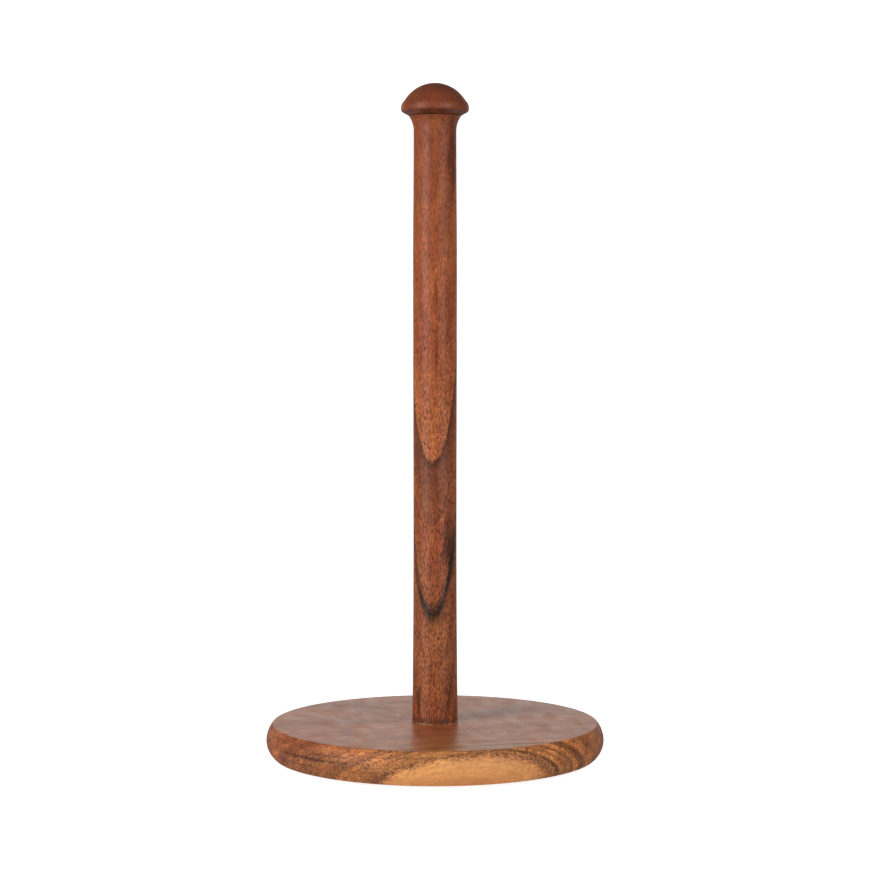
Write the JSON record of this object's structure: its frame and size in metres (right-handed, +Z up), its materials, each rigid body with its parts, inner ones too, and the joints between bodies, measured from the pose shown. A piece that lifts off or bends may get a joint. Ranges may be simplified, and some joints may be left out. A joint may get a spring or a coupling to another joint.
{
  "type": "paper towel holder",
  "caption": "Free-standing paper towel holder: round turned wooden base, slim upright post and a domed knob that a roll passes over.",
  "frame": {"origin": "on the post's axis, in the plane of the pads' undersides, where the holder rests on a worktop", "axes": "+Z up along the post, +X to the right and -Y towards someone who faces the holder; the base's grain runs within 12 degrees of X"},
  "size_m": [0.165, 0.165, 0.3289],
  "materials": {
    "base_wood": "oiled acacia, satin",
    "post_wood": "oiled acacia, satin",
    "knob_wood": "oiled acacia end grain, satin",
    "zinc": "bright zinc plate",
    "brass": "as machined",
    "felt": "pressed felt"
  },
  "bodies": {
    "root": {"base_disc": "base_wood", "post": "post_wood", "knob": "knob_wood", "washer": "zinc", "fixing_bolt": "zinc", "threaded_insert": "brass", "foot_pad_1": "felt", "foot_pad_2": "felt", "foot_pad_3": "felt", "foot_pad_4": "felt"}
  },
  "joints": []
}
